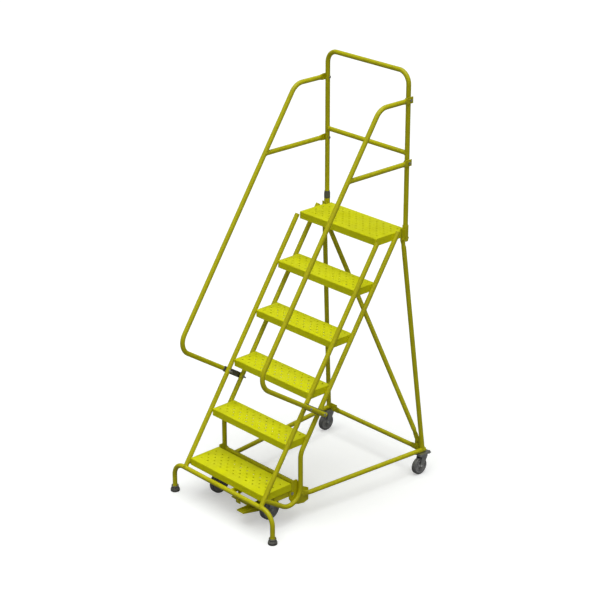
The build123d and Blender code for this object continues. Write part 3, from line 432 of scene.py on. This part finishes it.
for number in range(1, 7):
    low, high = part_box(f"tread_{number}")
    columns, rows = holeCount(high.x - low.x), holeCount(high.y - low.y)
    middle = (low + high) / 2
    bm = bmesh.new()
    for column in range(columns):
        for row in range(rows):
            spot = Vector((middle.x + (column - (columns - 1) / 2) * pitch,
                           middle.y + (row - (rows - 1) / 2) * pitch, high.z))
            spinRing(bm, rimProfile, spot, (0, 0, 1), 12)
            if column < columns - 1 and row < rows - 1:
                spinRing(bm, rimProfile, spot + Vector((pitch / 2, pitch / 2, 0)), (0, 0, 1), 12)
            for across, along in ((0.5, 0.0), (0.0, 0.5)):
                if (column < columns - 1 or not across) and (row < rows - 1 or not along):
                    lift = Vector((across * pitch, along * pitch, gripSet["buttonHeight"] / 2 + clear))
                    bmesh.ops.create_cone(bm, cap_ends=True, segments=10, radius1=gripSet["buttonR"],
                                          radius2=gripSet["buttonR"] * 0.6, depth=gripSet["buttonHeight"],
                                          matrix=Matrix.Translation(spot + lift))
    # the rims and buttons take the steps' brighter copy of the paint, with its painted light
    pieceFrom(meshFrom(bm), f"treadGrip{number}", "tread", "ladder")
print("step grips made")

# washers under the bolt heads and nuts of the frame
washerSet = {"outer": 0.0088, "inner": 0.0043, "thick": 0.0014, "tabOut": 1.8, "postIn": 13.6,
             "baseFront": (308.9, 369.0), "cornerFront": 1242.5, "cornerBack": 1251.4, "baseBoltX": 337.1,
             "braceFoot": (350.0, 195.0)}
low, high, thick = washerSet["outer"], washerSet["inner"], washerSet["thick"]
washerProfile = ((low, 0.0), (low, thick * 0.7), (low - 0.0004, thick), (high, thick), (high, 0.0))
cornerFaces = ((washerSet["cornerFront"], Vector((0, -1, 0))), (washerSet["cornerBack"], Vector((0, 1, 0))))
washerSpots = []
for side, sign in sides:
    out = Vector((sign, 0, 0))
    tabX, postX = sizes["handrailX"] + washerSet["tabOut"], sizes["guardX"] - washerSet["postIn"]
    for up in (sizes["handrailBoltUp"], sizes["handrailBraceUp"]):
        washerSpots.append((at(sign * tabX, sizes["guardBack"], up), out))
        washerSpots.append((at(sign * postX, sizes["guardBack"], up), -out))
    frontX, frontBack = washerSet["baseFront"]
    washerSpots.append((at(sign * frontX, frontBack, sizes["baseUp"]), out))
    for back, way in cornerFaces:
        washerSpots.append((at(sign * washerSet["baseBoltX"], back, sizes["baseUp"]), way))
footX, footUp = washerSet["braceFoot"]
washerSpots += [(at(footX, back, footUp), way) for back, way in cornerFaces]
for x, back in ((sizes["guardX"], sizes["legTabFront"]), (-sizes["guardX"], sizes["braceTabFront"])):
    washerSpots.append((at(x, back, sizes["legBoltUp"]), Vector((0, -1, 0))))
bm = bmesh.new()
for spot, way in washerSpots:
    spinRing(bm, washerProfile, spot, way, 24)
pieceFrom(meshFrom(bm), "frameWashers", "paint", "ladder")

# rear casters: race cup between plate and crown
raceSet = {"radius": 0.0275, "low": 0.0025, "high": 0.0072}
outer, cupLow, cupHigh = raceSet["radius"], raceSet["low"], raceSet["high"]
cup = ((outer - 0.004, 0.0003), (outer - 0.0005, 0.0008), (outer, cupLow), (outer - 0.0010, cupHigh),
       (outer - 0.0035, cupHigh + 0.0010), (outer - 0.0035, cupHigh - 0.0008),
       (outer - 0.0035 + 0.0003, cupLow))
for side, sign in sides:
    low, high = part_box(f"rear_{side}_caster_plate")
    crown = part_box(f"rear_{side}_fork")[1].z
    bm = bmesh.new()
    spinRing(bm, cup, Vector(((low.x + high.x) / 2, (low.y + high.y) / 2, crown)), (0, 0, 1), 48)
    pieceFrom(meshFrom(bm), f"raceCup_{side}", "casterSteel", "ladder")

# wheel centres: ribs, a ring round the hub and a lip at the rim on each face; moulded rings on each tyre
wheelSet = {"ribs": 6, "ribWide": 0.0040, "ribDeep": 0.0042, "ribInner": 0.0150, "ribEnd": 0.0060,
            "webHalf": 0.005, "faceIn": 0.002}
hubRing = ((0.0126, 0.0), (0.0126, 0.0012), (0.0112, 0.0022), (0.0098, 0.0012), (0.0098, 0.0))
for name in [f"{end}_{side}" for end in ("rear", "front") for side, sign in sides]:
    body = f"{name}_wheel_body"
    low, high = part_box(f"{name}_wheel")
    tyreLow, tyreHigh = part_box(f"{name}_tyre")
    centre = (low + high) / 2
    half, rim = (high.x - low.x) / 2 - wheelSet["faceIn"], (high.z - low.z) / 2
    tyreR = (tyreHigh.z - tyreLow.z) / 2
    bm = bmesh.new()
    for sign in (-1, 1):
        for rib in range(wheelSet["ribs"]):
            inner, outer = wheelSet["ribInner"], rim - wheelSet["ribEnd"]
            made = bmesh.ops.create_cube(bm, size=1.0)["verts"]
            deep = wheelSet["ribDeep"]
            bmesh.ops.scale(bm, vec=(deep, wheelSet["ribWide"], outer - inner), verts=made)
            for vert in made:
                if vert.co.z > 0:
                    vert.co.y *= 1.5
            shift = (sign * (wheelSet["webHalf"] + deep / 2), 0, (inner + outer) / 2)
            bmesh.ops.translate(bm, vec=shift, verts=made)
            rotation = Matrix.Rotation(2 * math.pi * rib / wheelSet["ribs"], 3, "X")
            bmesh.ops.rotate(bm, cent=(0, 0, 0), matrix=rotation, verts=made)
            bmesh.ops.translate(bm, vec=centre, verts=made)
    bmesh.ops.bevel(bm, geom=list(bm.edges), offset=0.0007, offset_type="OFFSET", segments=2, profile=0.5,
                    affect="EDGES", material=-1)
    for sign in (-1, 1):
        spinRing(bm, hubRing, centre + Vector((sign * half, 0, 0)), (sign, 0, 0), 32)
        lip = ((rim - 0.0006, -0.0030), (rim - 0.0006, 0.0001), (rim - 0.0020, 0.0007),
               (rim - 0.0034, 0.0001), (rim - 0.0034, -0.0030))
        spinRing(bm, lip, centre + Vector((sign * half, 0, 0)), (sign, 0, 0), 64)
    pieceFrom(meshFrom(bm), f"{name}WheelRibs", "hub", body)
    bm = bmesh.new()
    tyreHalf = (tyreHigh.x - tyreLow.x) / 2
    for sign in (-1, 1):
        for radius in (tyreR - 0.0066, tyreR - 0.0078):
            band = ((radius + 0.0004, -0.0010), (radius + 0.0002, 0.0004), (radius - 0.0002, 0.0004),
                    (radius - 0.0004, -0.0010))
            spinRing(bm, band, centre + Vector((sign * tyreHalf, 0, 0)), (sign, 0, 0), 72)
    pieceFrom(meshFrom(bm), f"{name}TyreRings", "tyre", body)

# rubber tips: moulded ribs round the flare
tipSet = {"heights": (13.5, 17.0, 20.5), "rib": 0.0011, "flareLow": 11.0, "flareRise": 15.0,
          "flareR": 26.5, "neckR": 19.5}
bm = bmesh.new()
for side, sign in sides:
    foot = at(sign * sizes["legX"], sizes["legBack"], 0.0)
    for height in tipSet["heights"]:
        share = (height - tipSet["flareLow"]) / tipSet["flareRise"]
        radius = (tipSet["flareR"] + (tipSet["neckR"] - tipSet["flareR"]) * share) / 1000.0
        rib = tipSet["rib"]
        band = ((radius - 0.001, -rib), (radius + rib * 0.8, -rib * 0.4),
                (radius + rib * 0.8, rib * 0.4), (radius - 0.001, rib))
        spinRing(bm, band, foot + Vector((0, 0, height / 1000.0)), (0, 0, 1), 48)
pieceFrom(meshFrom(bm), "footTipRibs", "rubber", "ladder")

# grip bars across the pedal plate
pedalSet = {"x": 148.0, "tip": (51.0, 90.0), "heel": (203.0, 57.0), "bars": 7,
            "bar": (0.042, 0.0035, 0.0024), "first": 0.06, "spacing": 0.085, "lift": 0.0009}
bm = bmesh.new()
tip, heel = at(pedalSet["x"], *pedalSet["tip"]), at(pedalSet["x"], *pedalSet["heel"])
slopeTurn = Matrix.Rotation(math.atan2(heel.z - tip.z, heel.y - tip.y), 3, "X")
for bar in range(pedalSet["bars"]):
    made = bmesh.ops.create_cube(bm, size=1.0)["verts"]
    bmesh.ops.scale(bm, vec=pedalSet["bar"], verts=made)
    bmesh.ops.rotate(bm, cent=(0, 0, 0), matrix=slopeTurn, verts=made)
    place = tip.lerp(heel, pedalSet["first"] + pedalSet["spacing"] * bar)
    bmesh.ops.translate(bm, vec=place + Vector((0, 0, pedalSet["lift"])), verts=made)
bmesh.ops.bevel(bm, geom=list(bm.edges), offset=0.0008, offset_type="OFFSET", segments=2, profile=0.5,
                affect="EDGES", material=-1)
pieceFrom(meshFrom(bm), "pedalGripBars", "paint", "carrier")

# domed plugs in the open lower ends of the handrails
plugSet = {"x": 350.4, "corner": (28.2, 917.0), "past": 22.0, "rise": 0.0042}
square = Vector((0, 1, -sizes["slope"])).normalized()
reach = (sizes["handrailAhead"] + sizes["railGap"]) / (square.y - sizes["slope"] * square.z)
reach += plugSet["past"]
r = sizes["tubeR"] / 1000.0
plug = ((0.0, -0.010), (r - 0.0022, -0.010), (r - 0.0022, 0.0002), (r, 0.0002), (r, 0.0014),
        (r * 0.82, 0.0031), (r * 0.45, plugSet["rise"]), (0.0, plugSet["rise"] + 0.0002))
bm = bmesh.new()
for side, sign in sides:
    end = at(sign * plugSet["x"], *plugSet["corner"]) + square * reach / 1000.0
    spinRing(bm, plug, end, square, 32, closed=False)
pieceFrom(meshFrom(bm), "handrailPlugs", "paint", "ladder")

# grey sleeve round the left post, standing on the socket's top edge
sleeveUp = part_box("post_sockets")[1].z * 1000.0
sleeveSet = {"inner": 0.0138, "outer": 0.0176, "low": 0.0006, "shoulder": 0.032, "high": 0.044}
inner, outer = sleeveSet["inner"], sleeveSet["outer"]
sleeveProfile = ((outer, sleeveSet["low"]), (outer, sleeveSet["shoulder"]),
                 (inner + 0.0008, sleeveSet["high"]), (inner, sleeveSet["high"]), (inner, sleeveSet["low"]))
bm = bmesh.new()
spinRing(bm, sleeveProfile, at(-sizes["guardX"], sizes["guardBack"], sleeveUp), (0, 0, 1), 32)
pieceFrom(meshFrom(bm), "postSleeve", "greyPlate", "ladder")
print("fittings made")

# pale floor that throws little light back, white surroundings and soft light from above
studioSet = {"floorSize": 120.0, "floorColour": (0.70, 0.70, 0.70, 1),
             "floorPatch": (0.72, 0.72, 0.72, 1), "patchScale": 0.7, "floorBack": (0.22, 0.22, 0.22, 1),
             "floorGlow": 0.42, "worldLight": 0.16, "worldSeen": 0.96,
             "topLight": 2.45, "topWidth": 60.0, "fillLight": 0.30, "fillWidth": 50.0}
bm = bmesh.new()
bmesh.ops.create_grid(bm, x_segments=4, y_segments=4, size=studioSet["floorSize"] / 2)
floorMesh = bpy.data.meshes.new("studioFloor")
bm.to_mesh(floorMesh)
bm.free()
floor = bpy.data.objects.new("studioFloor", floorMesh)
bpy.context.scene.collection.objects.link(floor)
floorMaterial = bpy.data.materials.new("paleFloor")
floorMaterial.use_nodes = True
floorTree = floorMaterial.node_tree
floorShader = floorTree.nodes["Principled BSDF"]
patches = noiseNode(floorTree, objectPlace(floorTree), studioSet["patchScale"])
paleTint = mixColour(floorTree, patches, studioSet["floorColour"], studioSet["floorPatch"])
floorSeen = addNode(floorTree, "ShaderNodeLightPath").outputs["Is Camera Ray"]
floorTint = mixColour(floorTree, floorSeen, studioSet["floorBack"], paleTint)
floorTree.links.new(floorTint, floorShader.inputs["Base Color"])
floorTree.links.new(rampNode(floorTree, floorSeen, 0.0, 1.0, 0.0, studioSet["floorGlow"]),
                    floorShader.inputs["Emission Strength"])
floorShader.inputs["Roughness"].default_value = 0.9
floorShader.inputs["Specular IOR Level"].default_value = 0.1
floorShader.inputs["Emission Color"].default_value = (1, 1, 1, 1)
floorMesh.materials.append(floorMaterial)

world = bpy.data.worlds.new("studioWorld")
world.use_nodes = True
worldTree = world.node_tree
background = worldTree.nodes["Background"]
seen = addNode(worldTree, "ShaderNodeLightPath").outputs["Is Camera Ray"]
background.inputs["Color"].default_value = (1, 1, 1, 1)
strength = rampNode(worldTree, seen, 0.0, 1.0, studioSet["worldLight"], studioSet["worldSeen"])
worldTree.links.new(strength, background.inputs["Strength"])
bpy.context.scene.world = world


def sunLight(name, strength, width, direction, colour):
    data = bpy.data.lights.new(name, "SUN")
    data.energy, data.angle, data.color = strength, math.radians(width), colour
    light = bpy.data.objects.new(name, data)
    light.rotation_euler = Vector(direction).to_track_quat("-Z", "Y").to_euler()
    bpy.context.scene.collection.objects.link(light)


sunLight("topSoft", studioSet["topLight"], studioSet["topWidth"], (-0.10, 0.12, -1.0), (0.97, 1.0, 0.98))
sunLight("sideFill", studioSet["fillLight"], studioSet["fillWidth"], (-0.75, 0.35, -0.45),
         (1.0, 0.96, 0.92))
bpy.context.scene.view_settings.view_transform = "Standard"
